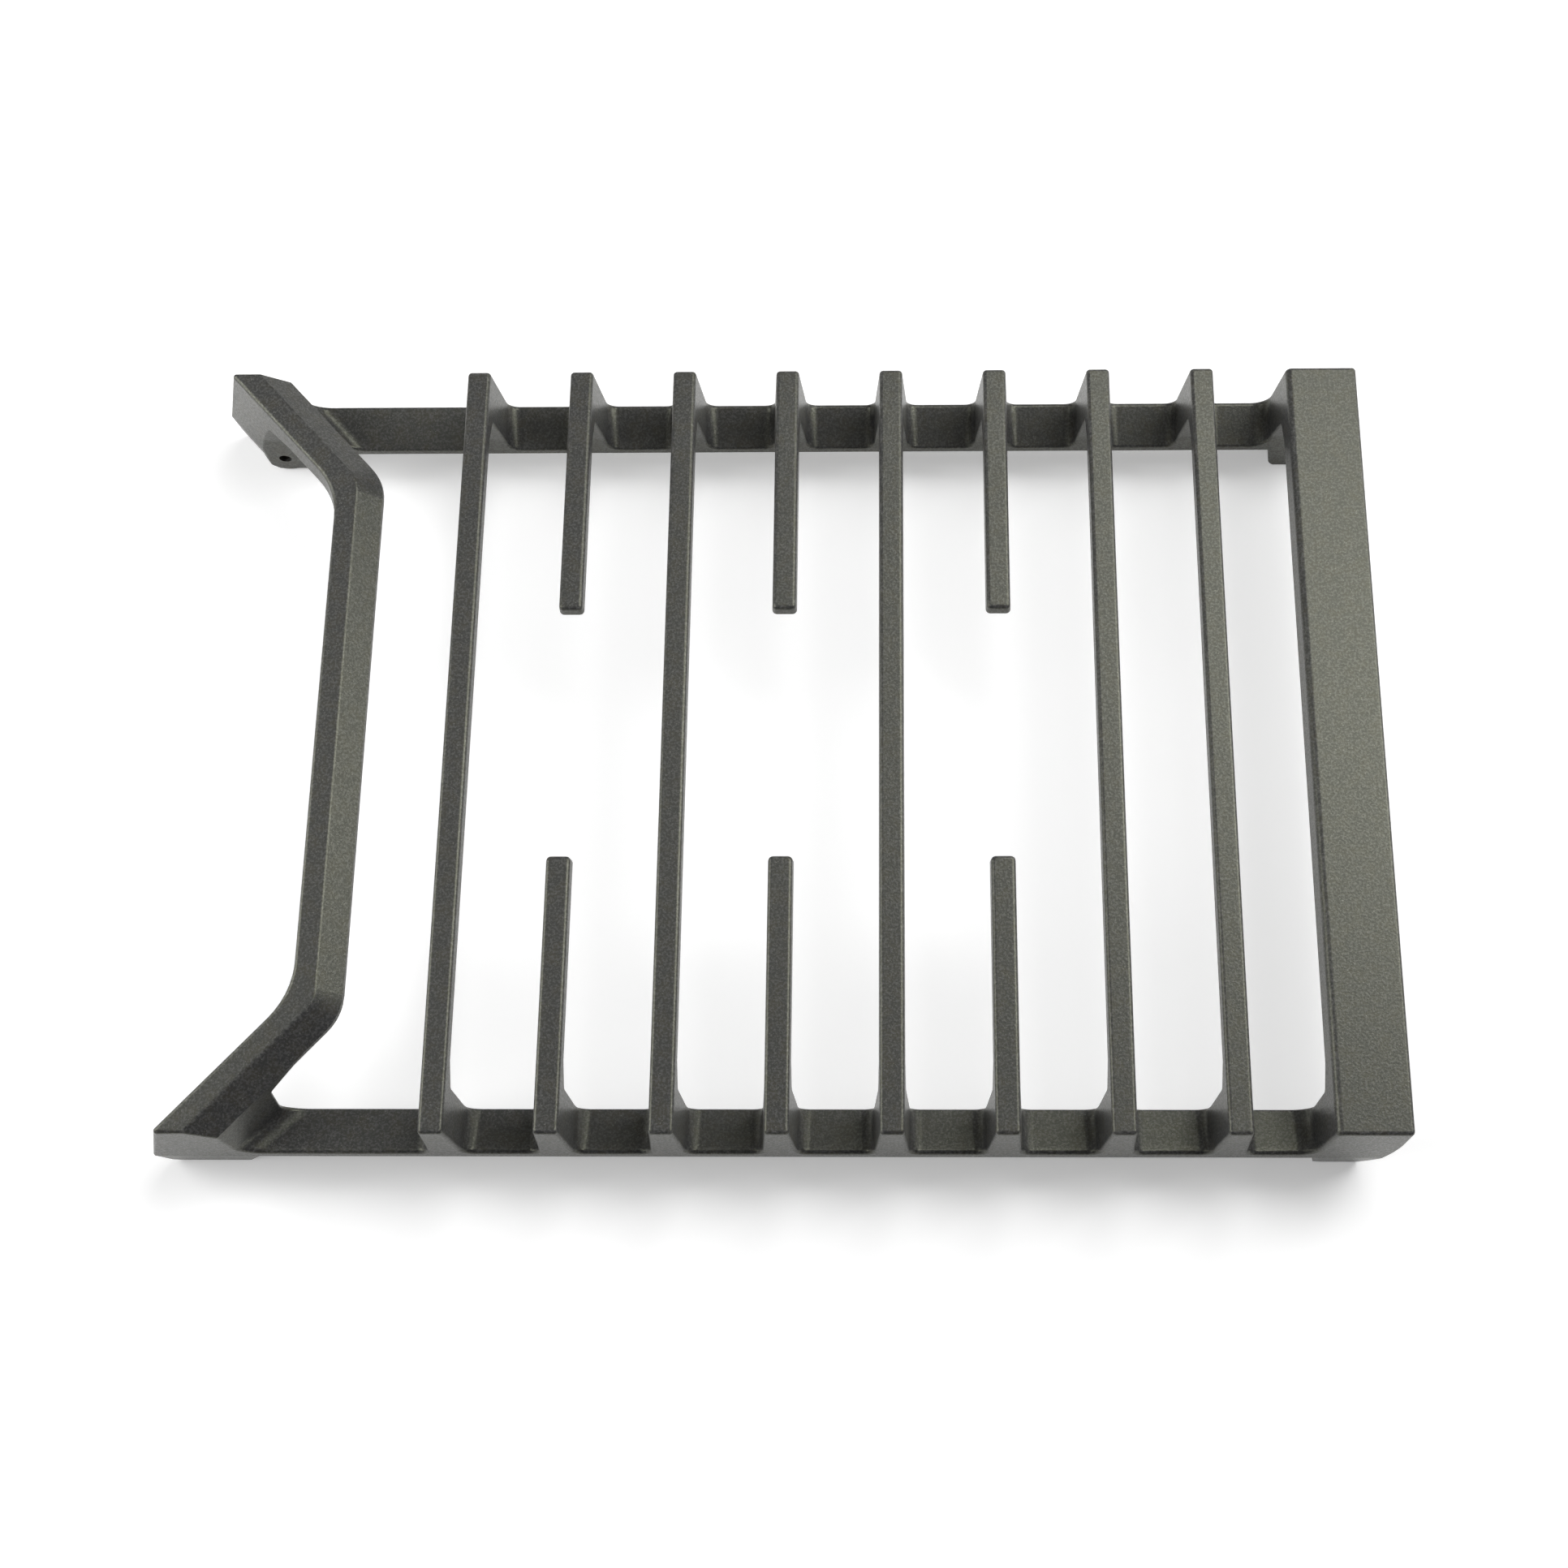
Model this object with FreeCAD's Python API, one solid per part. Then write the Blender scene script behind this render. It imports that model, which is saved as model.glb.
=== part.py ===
import FreeCAD, Part
import math
import os

# A hob pan support cast in one piece of iron. X runs along the rails, with the cranked bar at the left
# and the wide bar at the right, Y runs along the fingers and Z is up. The origin lies on the surface
# under the feet, in the middle of the outline. All sizes are in mm.

# Overall size
overall_depth = 272.4
overall_height = 45.5

# Fingers, the narrow bars that carry the pan, in a row from the cranked bar to the wide bar
finger_row = ("full", "short", "full", "short", "full", "short", "full", "full")
pitch = 36.0
finger_width = 7.8
finger_thickness = 5.0
finger_haunch = 7.4
burner_gap = 87.0

# Wide bar, with a side that drops straight and then curves in towards the feet
wide_bar_width = 24.1
wide_bar_gap = 25.4
wide_bar_thickness = 9.0
wide_bar_haunch = 11.2
hull_drop = 14.0
hull_radius = 62.0

# Cranked bar, with a flat top and a slope towards the fingers
crank_reach = 46.8
crank_angle = 42.5
crank_knee = 89.3
crank_flat = 7.3
crank_slope_width = 7.3
crank_slope_fall = 6.7
crank_thickness = 9.0
crank_haunch = 11.2
crank_outer_bend = 28.0
crank_inner_bend = 10.5

# Rails along the front and the back, which fall towards the burners
rail_width = 15.4
rail_drop = 26.3
rail_face = 4.6
rail_fall = 4.9
rail_lip = 2.6

# Haunches, where the bars thicken just inside the rails
haunch_start = 10.6
haunch_blend = 4.0
haunch_root = 1.2

# Overhang, by which everything that stands on the rails leans in, from a height above their inner edges
overhang = 2.4
overhang_start = 7.5
overhang_blend = 10.0

# Left feet, under the ends of the cranked bar
left_foot_reach = 69.0
left_foot_slope = 26.0
left_foot_corner = 1.5
left_foot_edge = 2.0
left_foot_hull = 4.5

# Right feet, under the ends of the wide bar
right_foot_inset = 1.0
right_foot_slope = 10.0
right_foot_corner = 4.5
right_foot_edge = 0.8

# Hanging hole in the back left foot, with the lug round it
hole_diameter = 4.5
hole_height = 8.6
hole_reach = 77.5
lug_radius = 7.6
lug_length = 5.0

# Draft of the faces, in degrees
side_draft = 4.3
end_draft = 4.0
foot_draft = 4.0
crank_outer_draft = 11.3
crank_inner_draft = 5.7

# Fillets and roundings
root_fillet = 4.0
wide_bar_root = 6.5
crank_root = 4.5
edge_rounding = 1.3
lower_rounding = 0.9
tip_rounding = 1.6
crank_corner = 1.1
wide_bar_rounding = 2.2

# How far a cutting shape runs past the casting, and how near to a face a point counts as on it
over = 20.0
touching = 0.001

# Heights above the surface under the feet
top = overall_height
rail_top_outer = top - rail_drop
parting = rail_top_outer - rail_face
rail_top_inner = rail_top_outer - rail_fall
rail_under_inner = rail_top_inner - rail_lip

# Slopes that the drafts give
side_slope = math.tan(math.radians(side_draft))
end_slope = math.tan(math.radians(end_draft))
foot_slope = math.tan(math.radians(foot_draft))
rail_rise = rail_fall / rail_width

# Distances from the middle, across the depth
half_depth = overall_depth / 2
top_end = half_depth - (top - parting) * end_slope
foot_end = half_depth - parting * foot_slope
rail_inner = half_depth - rail_face * end_slope - rail_width
far = half_depth + over

# Reach of the cranked bar's ends and of the wide bar, to the left and right of the first finger
crank_turn = math.radians(crank_angle)
crank_swell = (top - parting) * math.tan(math.radians(crank_outer_draft))
crank_run = (half_depth - crank_knee) * math.tan(crank_turn) + crank_swell / math.cos(crank_turn)
crank_tip_cut = crank_corner / math.tan((math.pi / 2 - crank_turn) / 2) - crank_corner
left_reach = crank_reach + crank_run - crank_tip_cut
right_reach = (len(finger_row) - 1) * pitch + finger_width / 2 + wide_bar_gap + wide_bar_width

# Places along the width, with the origin half way between the two sides
overall_width = left_reach + right_reach
first_finger = (left_reach - right_reach) / 2
right_side = first_finger + right_reach
wide_inner = right_side - wide_bar_width
crank_outer = first_finger - crank_reach
hole_x = first_finger - hole_reach


def rounded(points):
    """A closed wire through (corner, radius) pairs, with an arc at each corner that has a radius."""
    count = len(points)
    runs = []
    for index, (corner, radius) in enumerate(points):
        if radius == 0:
            runs.append((corner, corner, None))
            continue
        before = points[index - 1][0] - corner
        after = points[(index + 1) % count][0] - corner
        half = before.getAngle(after) / 2
        reach = radius / math.tan(half)
        before.normalize()
        after.normalize()
        middle = before + after
        middle.normalize()
        nearest = corner + middle * (radius / math.sin(half) - radius)
        runs.append((corner + before * reach, corner + after * reach, nearest))
    edges = []
    for index, (start, end, nearest) in enumerate(runs):
        if nearest is not None:
            edges.append(Part.Arc(start, nearest, end).toShape())
        following = runs[(index + 1) % count][0]
        if (following - end).Length > touching:
            edges.append(Part.LineSegment(end, following).toShape())
    return Part.Wire(edges)


def across_width(points):
    """A prism along X, wider than the casting, from corners (y, z, radius)."""
    corners = [(FreeCAD.Vector(-overall_width, y, z), radius) for y, z, radius in points]
    return Part.Face(rounded(corners)).extrude(FreeCAD.Vector(2 * overall_width, 0, 0))


def across_depth(points, start=-far):
    """A prism along Y, from start to behind the casting, from corners (x, z, radius)."""
    corners = [(FreeCAD.Vector(x, start, z), radius) for x, z, radius in points]
    return Part.Face(rounded(corners)).extrude(FreeCAD.Vector(0, far - start, 0))


def mirrored(shape):
    """The same shape at the other end of the fingers."""
    return shape.mirror(FreeCAD.Vector(0, 0, 0), FreeCAD.Vector(0, 1, 0))


def rail_middle(distance):
    """Height inside the rail's thickness, at a distance from the middle of the casting."""
    inner = (rail_top_inner + rail_under_inner) / 2
    outer = (rail_top_outer + parting) / 2
    return inner + (outer - inner) * (distance - rail_inner) / rail_width


def half_side_view(thickness, haunch):
    """The back half of a bar seen from the side: its end, its root in the rail, overhang and haunch."""
    return [
        (far, top, 0),
        (far, rail_middle(far), 0),
        (rail_inner, rail_middle(rail_inner), 0),
        (rail_inner, rail_top_inner + overhang_start, overhang_blend),
        (rail_inner - overhang, top - haunch, haunch_root),
        (rail_inner - haunch_start, top - thickness, haunch_blend),
    ]


def spanning(thickness, haunch):
    """The side view of a bar that spans both rails, as a prism."""
    half = half_side_view(thickness, haunch)
    other_half = [(-y, z, radius) for y, z, radius in reversed(half)]
    return across_width(half + other_half)


def stopping_short(thickness, haunch):
    """The side view of a bar that stops short of the burner, as a prism."""
    tip = burner_gap / 2
    tip_ends = [(tip - thickness * end_slope, top - thickness, 0), (tip, top, 0)]
    return across_width(half_side_view(thickness, haunch) + tip_ends)


def finger_blank(place):
    """The drafted section of a finger, before its side view is cut from it."""
    x = first_finger + place * pitch
    half = finger_width / 2
    half_below = half + top * side_slope
    return across_depth([
        (x - half, top, 0),
        (x + half, top, 0),
        (x + half_below, 0, 0),
        (x - half_below, 0, 0),
    ])


def rounded_tip(finger):
    """A short finger with its two upright corners at the tip rounded."""
    corners = []
    for edge in finger.Edges:
        start, end = [vertex.Point for vertex in edge.Vertexes]
        at_tip = max(start.y, end.y) < burner_gap / 2 + touching
        if at_tip and abs(start.z - end.z) > finger_thickness / 2:
            corners.append(edge)
    return finger.makeFillet(tip_rounding, corners)


def fingers():
    """Every finger, the short ones as pairs that leave the burners clear."""
    full = spanning(finger_thickness, finger_haunch)
    short = stopping_short(finger_thickness, finger_haunch)
    bars = []
    for place, kind in enumerate(finger_row):
        blank = finger_blank(place)
        if kind == "full":
            bars.append(blank.common(full))
        else:
            back = rounded_tip(blank.common(short))
            bars += [back, mirrored(back)]
    return bars


def wide_bar():
    """The wide flat bar, whose outer side is cut later."""
    blank = across_depth([
        (wide_inner, top, 0),
        (right_side + over, top, 0),
        (right_side + over, 0, 0),
        (wide_inner - top * side_slope, 0, 0),
    ])
    return blank.common(spanning(wide_bar_thickness, wide_bar_haunch))


def crank_line(offset, height, end, bend, end_corner=0):
    """Corners of a line that follows the crank from front to back, moved right by offset."""
    knee = crank_knee + offset * math.tan(crank_turn / 2)
    x = crank_outer + offset
    end_x = x - (end - knee) * math.tan(crank_turn)
    return [
        (FreeCAD.Vector(end_x, -end, height), end_corner),
        (FreeCAD.Vector(x, -knee, height), bend),
        (FreeCAD.Vector(x, knee, height), bend),
        (FreeCAD.Vector(end_x, end, height), end_corner),
    ]


def lofted(lower, upper):
    """A solid with straight walls between an outline and the one above it."""
    return Part.makeLoft([lower, upper], True, True)


def crank_level(offset, height):
    """The crank's outline at a height, with its right side moved right by offset and its left side wide."""
    left = crank_line(-crank_outer_bend / 2, height, far, crank_outer_bend)
    right = crank_line(offset, height, far, crank_inner_bend + offset - crank_flat)
    return rounded(left + right[::-1])


def cranked_bar():
    """The cranked bar: a flat top, a slope and a drafted inner side. Its outer side is cut later."""
    slope_edge = crank_flat + crank_slope_width
    slope_foot = top - crank_slope_fall
    inner_edge = slope_edge + slope_foot * math.tan(math.radians(crank_inner_draft))
    upper = lofted(crank_level(slope_edge, slope_foot), crank_level(crank_flat, top))
    lower = lofted(crank_level(inner_edge, 0), crank_level(slope_edge, slope_foot))
    return upper.fuse(lower).common(spanning(crank_thickness, crank_haunch))


def back_rail():
    """The back rail, run past both sides."""
    under_rise = (parting - rail_under_inner) / (half_depth - rail_inner)
    width = far - rail_inner
    return across_width([
        (rail_inner, rail_top_inner, 0),
        (far, rail_top_inner + width * rail_rise, 0),
        (far, rail_under_inner + width * under_rise, 0),
        (rail_inner, rail_under_inner, 0),
    ])


def under_rail(inner_edge):
    """The room for a foot: from the ground up into the back rail, with its inner edge rounded."""
    return across_width([
        (rail_inner, 0, inner_edge),
        (far, 0, 0),
        (far, rail_middle(far), 0),
        (rail_inner, rail_middle(rail_inner), 0),
    ])


def beside_crank():
    """Everything to the right of the left foot's outer side, which follows the crank and rounds under."""
    knee = FreeCAD.Vector(crank_outer, crank_knee, 0)
    along = FreeCAD.Vector(-math.sin(crank_turn), math.cos(crank_turn), 0)
    across = FreeCAD.Vector(math.cos(crank_turn), math.sin(crank_turn), 0)
    section = [
        (-crank_swell, top, 0),
        (-crank_swell, parting, 0),
        (parting * foot_slope - crank_swell, 0, left_foot_hull),
        (overall_depth, 0, 0),
        (overall_depth, top, 0),
    ]
    corners = []
    for offset, height, radius in section:
        corners.append((knee + across * offset + FreeCAD.Vector(0, 0, height), radius))
    return Part.Face(rounded(corners)).extrude(along * overall_depth)


def left_foot():
    """The back left foot."""
    inner_x = first_finger - left_foot_reach
    run = top * math.tan(math.radians(left_foot_slope))
    corners = [
        (-overall_width, 0, 0),
        (inner_x, 0, left_foot_corner),
        (inner_x + run, top, 0),
        (-overall_width, top, 0),
    ]
    return across_depth(corners, rail_inner).common(under_rail(left_foot_edge)).common(beside_crank())


def right_foot():
    """The back right foot, whose outer side is cut later."""
    inner_x = wide_inner + right_foot_inset
    run = top * math.tan(math.radians(right_foot_slope))
    corners = [
        (inner_x, 0, right_foot_corner),
        (overall_width, 0, 0),
        (overall_width, top, 0),
        (inner_x - run, top, 0),
    ]
    return across_depth(corners, rail_inner).common(under_rail(right_foot_edge))


def y_cylinder(radius, start, length):
    """A cylinder on the hanging hole's axis."""
    corner = FreeCAD.Vector(hole_x, start, hole_height)
    return Part.makeCylinder(radius, length, corner, FreeCAD.Vector(0, 1, 0))


def plan_outline():
    """Everything within the crank's outer side and the two end faces, widest at the parting line."""

    def level(offset, height, end):
        left = crank_line(offset, height, end, crank_outer_bend + offset, crank_corner)
        right = [(FreeCAD.Vector(overall_width, y, height), 0) for y in (end, -end)]
        return rounded(left + right)

    upper = lofted(level(-crank_swell, parting, half_depth), level(0, top, top_end))
    lower = lofted(level(-crank_swell, 0, foot_end), level(-crank_swell, parting, half_depth))
    return upper.fuse(lower)


def hull_point(height):
    """A point on the wide bar's outer side, at or below the height where its curve starts."""
    below = top - hull_drop - height
    x = right_side - hull_radius + math.sqrt(hull_radius ** 2 - below ** 2)
    return FreeCAD.Vector(x, -far, height)


def right_outline():
    """Everything to the left of the wide bar's outer side and of the right feet's."""
    curve_top = top - hull_drop
    corners = [
        hull_point(0),
        FreeCAD.Vector(-overall_width, -far, 0),
        FreeCAD.Vector(-overall_width, -far, top),
        FreeCAD.Vector(right_side, -far, top),
        hull_point(curve_top),
    ]
    edges = [Part.LineSegment(start, end).toShape() for start, end in zip(corners, corners[1:])]
    edges.append(Part.Arc(hull_point(curve_top), hull_point(curve_top / 2), hull_point(0)).toShape())
    return Part.Face(Part.Wire(edges)).extrude(FreeCAD.Vector(0, 2 * far, 0))


def sharp_casting():
    """The casting before its roots are filleted and its edges rounded."""
    back = [back_rail(), left_foot(), right_foot()]
    front = [mirrored(piece) for piece in back]
    lug = y_cylinder(lug_radius, rail_inner, lug_length)
    body = cranked_bar().fuse([wide_bar(), lug] + fingers() + back + front)
    return body.common(plan_outline().common(right_outline())).removeSplitter().Solids[0]


def edges_where(solid, test):
    """The edges whose two ends and middle all pass a test of points."""
    found = []
    for edge in solid.Edges:
        middle = edge.valueAt((edge.FirstParameter + edge.LastParameter) / 2)
        points = [vertex.Point for vertex in edge.Vertexes] + [middle]
        if all(test(point) for point in points):
            found.append(edge)
    return found


def on_top(point):
    """Whether a point lies in the plane that carries the pan."""
    return abs(point.z - top) < touching


def on_rail_top(point):
    """Whether a point lies on the sloping top of a rail."""
    inward = abs(point.y) - rail_inner
    return inward > -touching and abs(point.z - rail_top_inner - inward * rail_rise) < touching


def on_end_face(point):
    """Whether a point lies on the front or back end face, above the parting line."""
    end = top_end + (top - point.z) * end_slope
    return abs(abs(point.y) - end) < touching and point.z > parting + touching


def on_inner_face(point):
    """Whether a point lies on the inner face of a rail, above the rail's underside."""
    return abs(abs(point.y) - rail_inner) < touching and point.z > rail_under_inner + touching


def with_roots(casting):
    """The casting with its upright sides run into the rails by fillets."""
    groups = {crank_root: [], root_fillet: [], wide_bar_root: []}
    for edge in edges_where(casting, on_rail_top):
        if edge.BoundBox.YLength < rail_width / 2:
            continue
        if edge.BoundBox.XMax < first_finger - pitch / 2:
            groups[crank_root].append(edge)
        elif edge.BoundBox.XMin > wide_inner - wide_bar_gap / 2:
            groups[wide_bar_root].append(edge)
        else:
            groups[root_fillet].append(edge)
    for radius, edges in groups.items():
        casting = casting.makeFillet(radius, edges)
    return casting


def rounded_above(casting):
    """The casting with the edges of its top and of its end faces rounded."""
    top_edges = edges_where(casting, on_top)
    wide_edges = [edge for edge in top_edges if abs(edge.BoundBox.XMax - wide_inner) < touching]
    casting = casting.makeFillet(wide_bar_rounding, wide_edges)
    top_edges = edges_where(casting, on_top)
    end_edges = [edge for edge in edges_where(casting, on_end_face) if not on_top(edge.CenterOfMass)]
    return casting.makeFillet(edge_rounding, top_edges + end_edges)


def rounded_below(casting):
    """The casting with the rails' inner edges rounded, and with them the undersides of the bars."""
    edges = []
    for edge in edges_where(casting, on_inner_face):
        upright = edge.BoundBox.ZLength > touching
        on_rail = edge.BoundBox.ZMax < rail_top_inner + touching
        if upright or on_rail:
            edges.append(edge)
    return casting.makeFillet(lower_rounding, edges)


def pan_support():
    """The finished casting."""
    casting = rounded_below(rounded_above(with_roots(sharp_casting())))
    return casting.cut(y_cylinder(hole_diameter / 2, rail_inner - over, rail_width + 2 * over))


os.makedirs("parts", exist_ok=True)
pan_support().exportStep("parts/pan_support.step")
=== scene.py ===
import math

import bpy
from mathutils import Matrix, Vector


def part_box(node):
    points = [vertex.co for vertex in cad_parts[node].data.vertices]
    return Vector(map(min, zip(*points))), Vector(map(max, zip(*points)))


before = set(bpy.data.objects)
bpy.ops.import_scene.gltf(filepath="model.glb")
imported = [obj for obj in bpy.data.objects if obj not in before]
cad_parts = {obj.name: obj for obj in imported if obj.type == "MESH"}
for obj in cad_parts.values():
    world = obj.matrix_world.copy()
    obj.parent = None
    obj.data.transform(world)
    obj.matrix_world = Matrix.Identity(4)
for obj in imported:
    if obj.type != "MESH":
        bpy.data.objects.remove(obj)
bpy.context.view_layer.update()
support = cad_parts["pan_support"]

# Camera: place in metres, angles in degrees, and the pixel that its axis meets in the photograph's frame
camera_place = (0.03816, -0.24051, 0.67303)
camera_tilt = 72.677
camera_turn = -3.677
camera_roll = -3.573
camera_near_limit = 0.01
picture_width_px = 1932
focal_length_px = 2510.456
axis_pixel = (1045, 1060)
sensor_width_mm = 36

# Height and half depth of the casting in metres, read from its own box
casting_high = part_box("pan_support")[1]
pan_height = casting_high[2]
half_depth = casting_high[1]

# Floor: size and distances from its middle in metres, and its own brightness at each of the two distances
floor_size = 2.6
floor_color = (0.9, 0.9, 0.9, 1)
floor_roughness = 0.9
glow_distances = (0.45, 0.9)
glow_strengths = (0.34, 1.0)

# World: its strength on the object, and as the camera sees it, in the white that the floor glows in too
world_strengths = (0.02, 1.0)
white = (1, 1, 1, 1)

# Grain of the enamel, with its size and depth in metres
grain_size = 0.0008
grain_detail = 3
grain_harshness = 0.65
grain_depth = 0.00007

# Orange peel under the grain, with its size and depth in metres
peel_size = 0.0013
peel_detail = 1
peel_depth = 0.00002

# Ground of the enamel, which varies between two tones in patches of this size in metres
patch_size = 0.03
patch_detail = 3
ground_dark = (0.037, 0.037, 0.0385, 1)
ground_pale = (0.046, 0.046, 0.048, 1)

# Stains, with their size in metres and the noise between which they fade in
stain_size = 0.005
stain_detail = 2
stain_fade = (0.4, 0.7)
stain_color = (0.05, 0.047, 0.042, 1)

# Pale grains, and the noise between which they fade in
grain_fade = (0.42, 0.68)
grain_color = (0.1, 0.1, 0.099, 1)

# Pale specks, which also stand in as painted glints: spacing in metres, and fade towards a speck's middle
# in spacings
speck_spacing = 0.0006
speck_fade = (0.4, 0.2)

# Random numbers of a cell between which its speck fades in, and how strongly specks show
speck_pick = (0.85, 1.0)
speck_and_glint_share = 0.35
speck_and_glint_color = (0.32, 0.32, 0.28, 1)

# Arrises under the pan, painted paler as part rubbing and part painted highlight: the depths in metres at
# which this starts to fade, and is gone
rubbed_and_highlit_depth = 0.0012
rubbed_and_highlit_fade_depth = 0.0048

# Rubbed arrises of the rails, also painted with a highlight: they lie under this height, and within this
# distance of the outer sides
rail_height = 0.021
rail_edge = 0.004

# Upward part of the normal on an arris: the fade below flat tops, and the fade above the sides
under_top_fade = (0.995, 0.95)
above_side_fade = (0.76, 0.84)

# Pale grains on the rubbed arrises, which are partly a painted highlight, and how strongly they show
rubbed_and_highlit_grain_fade = (0.45, 0.65)
rubbed_and_highlight_share = 0.2
rubbed_and_highlight_color = (0.25, 0.25, 0.22, 1)

# Noise in the grain's hollows and on its tops, and the roughness at both
grain_span = (0.3, 0.7)
grain_roughness = (0.42, 0.26)

# Share of the roughness that is left off the rubbed arrises and on them, and the tint of the gloss
rubbed_roughness = (1.0, 0.85)
gloss_tint = (0.98, 1.0, 0.76, 1)


def add(tree, kind, inputs=(), **settings):
    """A new shader node, whose inputs are linked to sockets or set to values."""
    node = tree.nodes.new(kind)
    for name, value in settings.items():
        setattr(node, name, value)
    for name, value in dict(inputs).items():
        if isinstance(value, bpy.types.NodeSocket):
            tree.links.new(value, node.inputs[name])
        else:
            node.inputs[name].default_value = value
    return node


def math_node(tree, operation, first, second=0.0):
    """The result of an operation on two numbers."""
    return add(tree, "ShaderNodeMath", {0: first, 1: second}, operation=operation).outputs[0]


def product(tree, first, second):
    """Two numbers multiplied."""
    return math_node(tree, "MULTIPLY", first, second)


def larger(tree, first, second):
    """The larger of two numbers."""
    return math_node(tree, "MAXIMUM", first, second)


def fade(tree, value, span):
    """A number that runs smoothly from 0 at the span's first value to 1 at its second."""
    inputs = {"Value": value, "From Min": span[0], "From Max": span[1]}
    return add(tree, "ShaderNodeMapRange", inputs, interpolation_type="SMOOTHSTEP").outputs["Result"]


def rescale(tree, value, span, results):
    """A number that runs evenly between two results while the value runs through the span."""
    inputs = {
        "Value": value,
        "From Min": span[0],
        "From Max": span[1],
        "To Min": results[0],
        "To Max": results[1],
    }
    return add(tree, "ShaderNodeMapRange", inputs).outputs["Result"]


def noise(tree, place, size, detail, harshness=0.5):
    """A noise pattern whose lumps have a size in metres."""
    inputs = {"Vector": place, "Scale": 1 / size, "Detail": detail, "Roughness": harshness}
    return add(tree, "ShaderNodeTexNoise", inputs).outputs["Fac"]


def blend(tree, factor, first, second):
    """A colour between two colours, by the mix node's numbered sockets for colours."""
    inputs = {0: factor, 6: first, 7: second}
    return add(tree, "ShaderNodeMix", inputs, data_type="RGBA").outputs[2]


def bump(tree, height, depth, under=None):
    """The normal over a relief of a depth in metres, which may stand on the normal of another."""
    inputs = {"Strength": 1.0, "Distance": depth, "Height": height}
    if under is not None:
        inputs["Normal"] = under
    return add(tree, "ShaderNodeBump", inputs).outputs["Normal"]


def make_camera():
    """The camera at the photograph's viewing angle."""
    tilt = math.radians(camera_tilt)
    turn = math.radians(camera_turn)
    roll = math.radians(camera_roll)
    forward = Vector((math.sin(turn) * math.cos(tilt), math.cos(turn) * math.cos(tilt), -math.sin(tilt)))
    level_right = Vector((math.cos(turn), -math.sin(turn), 0))
    level_up = level_right.cross(forward)
    right = level_right * math.cos(roll) + level_up * math.sin(roll)
    up = level_up * math.cos(roll) - level_right * math.sin(roll)
    camera = bpy.data.objects.new("camera", bpy.data.cameras.new("camera"))
    bpy.context.scene.collection.objects.link(camera)
    camera.matrix_world = Matrix((right, up, -forward)).transposed().to_4x4()
    camera.location = camera_place
    camera.data.sensor_width = sensor_width_mm
    camera.data.lens = focal_length_px / picture_width_px * sensor_width_mm
    camera.data.shift_x = (picture_width_px / 2 - axis_pixel[0]) / picture_width_px
    camera.data.shift_y = (axis_pixel[1] - picture_width_px / 2) / picture_width_px
    camera.data.clip_start = camera_near_limit
    bpy.context.scene.camera = camera


def floor_material():
    """White paper, seen a little brighter than the lamps make it, and more so far from the middle."""
    material = bpy.data.materials.new("floor")
    material.use_nodes = True
    tree = material.node_tree
    shader = tree.nodes["Principled BSDF"]
    shader.inputs["Base Color"].default_value = floor_color
    shader.inputs["Roughness"].default_value = floor_roughness
    shader.inputs["Specular IOR Level"].default_value = 0.0
    shader.inputs["Emission Color"].default_value = white

    ray = add(tree, "ShaderNodeLightPath")
    seen = larger(tree, ray.outputs["Is Camera Ray"], ray.outputs["Is Glossy Ray"])
    seen = larger(tree, seen, ray.outputs["Is Transmission Ray"])
    place = add(tree, "ShaderNodeTexCoord").outputs["Object"]
    from_middle = add(tree, "ShaderNodeVectorMath", {0: place}, operation="LENGTH").outputs["Value"]
    glow = rescale(tree, from_middle, glow_distances, glow_strengths)
    tree.links.new(product(tree, seen, glow), shader.inputs["Emission Strength"])
    return material


def make_floor():
    """A plain pale floor under the feet."""
    bpy.ops.mesh.primitive_plane_add(size=floor_size)
    floor = bpy.context.object
    floor.name = "floor"
    floor.data.materials.append(floor_material())


def make_world():
    """A dim even world that fills the darkest corners, and is a white background to the camera."""
    world = bpy.data.worlds.new("world")
    bpy.context.scene.world = world
    world.use_nodes = True
    tree = world.node_tree
    ray = add(tree, "ShaderNodeLightPath")
    strength = rescale(tree, ray.outputs["Is Camera Ray"], (0, 1), world_strengths)
    background = tree.nodes["Background"]
    background.inputs["Color"].default_value = white
    tree.links.new(strength, background.inputs["Strength"])


def make_light(name, place, side, power, target=(0, 0, 0)):
    """A square soft light with a side in metres and a power in watts, turned to a target."""
    data = bpy.data.lights.new(name, "AREA")
    data.shape = "SQUARE"
    data.size = side
    data.energy = power
    light = bpy.data.objects.new(name, data)
    bpy.context.scene.collection.objects.link(light)
    light.location = place
    light.rotation_euler = (Vector(target) - Vector(place)).to_track_quat("-Z", "Y").to_euler()


def make_lights():
    """Three lamps at the right, towards the back, and three at the left that fill the shade."""
    make_light("key", place=(0.725, 0.264, 0.919), side=0.55, power=4.4)
    make_light("high", place=(0.44, 0.71, 1.36), side=0.75, power=7.6)
    make_light("side", place=(0.944, 0.381, 0.636), side=0.55, power=4.3)
    make_light("fill", place=(-0.776, -0.068, 0.45), side=0.7, power=4.0)
    make_light("near", place=(-0.55, 0.05, 0.3), side=0.35, power=0.6, target=(-0.1, 0, 0))
    make_light("back", place=(-0.55, 0.2, 0.85), side=0.9, power=0.9)


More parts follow.
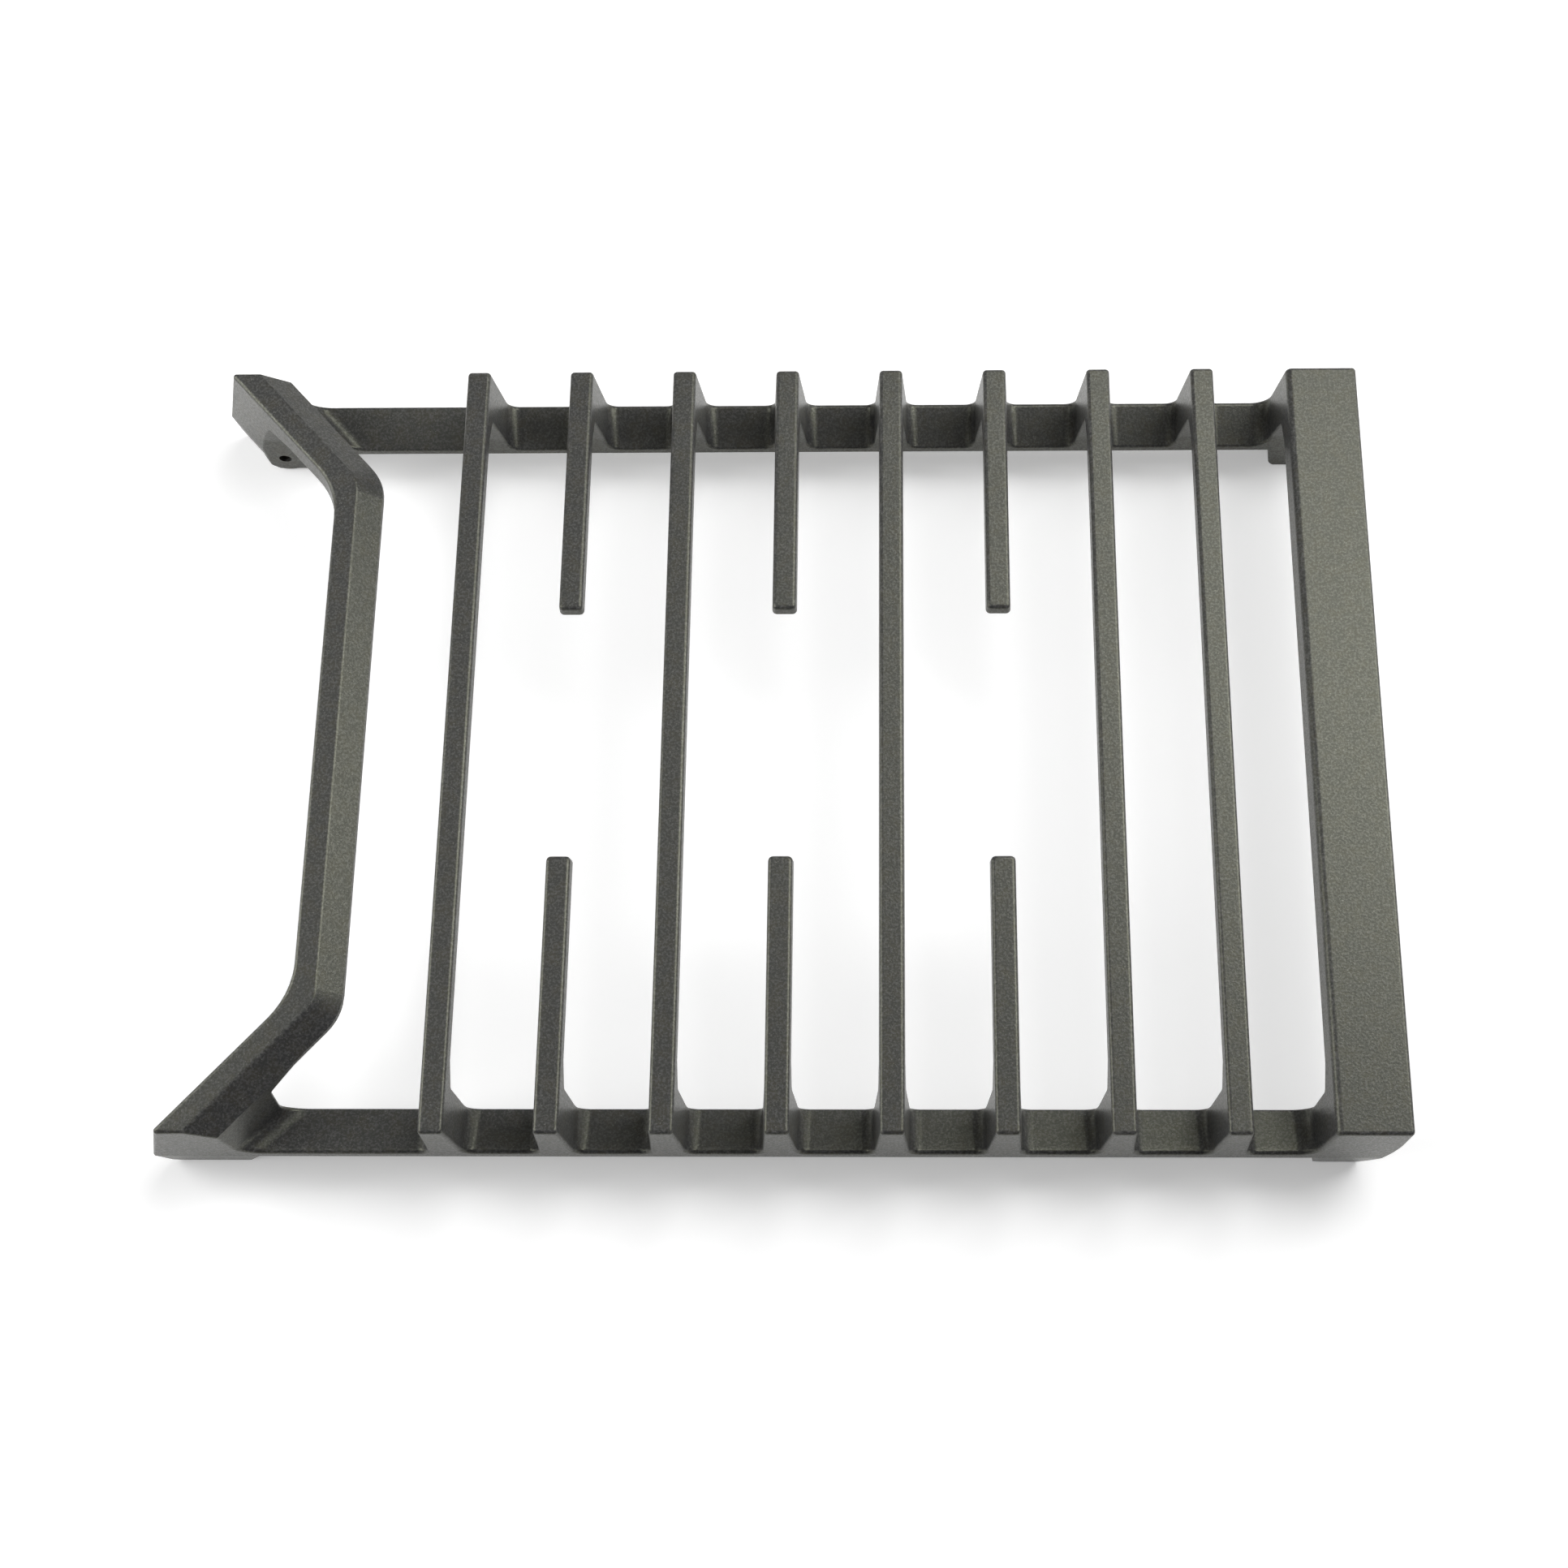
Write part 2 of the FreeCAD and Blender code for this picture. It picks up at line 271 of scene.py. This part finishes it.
def rubbed_and_highlit_arrises(tree, place):
    """How rubbed each spot is, where a highlight is also painted: on arrises just under the pan, and at
    the rails' outer top edges.
    """
    spot = add(tree, "ShaderNodeSeparateXYZ", {0: place}).outputs
    normal = add(tree, "ShaderNodeNewGeometry").outputs["Normal"]
    upward = add(tree, "ShaderNodeSeparateXYZ", {0: normal}).outputs["Z"]
    rounded = product(tree, fade(tree, upward, under_top_fade), fade(tree, upward, above_side_fade))
    at_pan = fade(tree, spot["Z"], (pan_height - rubbed_and_highlit_fade_depth, pan_height - rubbed_and_highlit_depth))
    on_rail = fade(tree, spot["Z"], (rail_height + rubbed_and_highlit_depth, rail_height - rubbed_and_highlit_depth))
    from_middle = math_node(tree, "ABSOLUTE", spot["Y"])
    at_side = fade(tree, from_middle, (half_depth - rail_edge, half_depth - rail_edge / 2))
    return product(tree, rounded, larger(tree, at_pan, product(tree, on_rail, at_side)))


def specks_and_painted_glints(tree, place):
    """Where a pale speck lies, which also serves as a painted glint: round the middles of a few cells of
    a fine pattern.
    """
    cells = add(tree, "ShaderNodeTexVoronoi", {"Vector": place, "Scale": 1 / speck_spacing}).outputs
    pick = add(tree, "ShaderNodeSeparateColor", {"Color": cells["Color"]}).outputs["Red"]
    return product(tree, fade(tree, cells["Distance"], speck_fade), fade(tree, pick, speck_pick))


def enamel_color(tree, place, grain, rubbed_and_highlit):
    """Olive black in patches, with faint stains, pale grains, pale specks that are partly painted glints,
    and arrises painted paler as part wear and part painted highlight.
    """
    patches = noise(tree, place, patch_size, patch_detail)
    stains = noise(tree, place, stain_size, stain_detail)
    specks_and_glints = specks_and_painted_glints(tree, place)
    rubbed_and_highlit_grain = product(tree, rubbed_and_highlit, fade(tree, grain, rubbed_and_highlit_grain_fade))
    tone = blend(tree, patches, ground_dark, ground_pale)
    tone = blend(tree, fade(tree, stains, stain_fade), tone, stain_color)
    tone = blend(tree, fade(tree, grain, grain_fade), tone, grain_color)
    # Pale specks, which also stand in as painted glints
    tone = blend(tree, product(tree, specks_and_glints, speck_and_glint_share), tone, speck_and_glint_color)
    # Arrises painted paler, part rubbed wear and part painted highlight
    return blend(tree, product(tree, rubbed_and_highlit_grain, rubbed_and_highlight_share), tone, rubbed_and_highlight_color)


def enamel_roughness(tree, grain, rubbed_and_highlit):
    """Satin, glossier on the grains and along the rubbed arrises."""
    satin = rescale(tree, grain, grain_span, grain_roughness)
    return product(tree, satin, rescale(tree, rubbed_and_highlit, (0, 1), rubbed_roughness))


def enamel_relief(tree, place, grain):
    """The normal over the grain, which stands on a soft orange peel."""
    peel = noise(tree, place, peel_size, peel_detail)
    over_peel = bump(tree, peel, peel_depth)
    return bump(tree, grain, grain_depth, over_peel)


def enamelled_iron():
    """Satin olive-black enamel over cast iron, with a sandy grain, rubbed arrises that also carry a
    painted highlight, and pale specks that are partly painted glints.
    """
    material = bpy.data.materials.new("enamelled_iron")
    material.use_nodes = True
    tree = material.node_tree
    shader = tree.nodes["Principled BSDF"]
    place = add(tree, "ShaderNodeTexCoord").outputs["Object"]
    grain = noise(tree, place, grain_size, grain_detail, grain_harshness)
    # Mask of the arrises that are painted paler, as part rubbing and part painted highlight
    rubbed_and_highlit = rubbed_and_highlit_arrises(tree, place)
    tree.links.new(enamel_color(tree, place, grain, rubbed_and_highlit), shader.inputs["Base Color"])
    tree.links.new(enamel_roughness(tree, grain, rubbed_and_highlit), shader.inputs["Roughness"])
    tree.links.new(enamel_relief(tree, place, grain), shader.inputs["Normal"])
    shader.inputs["Specular Tint"].default_value = gloss_tint
    return material


make_camera()
make_floor()
make_world()
make_lights()

support.data.materials.clear()
support.data.materials.append(enamelled_iron())

bpy.context.scene.view_settings.view_transform = "Standard"
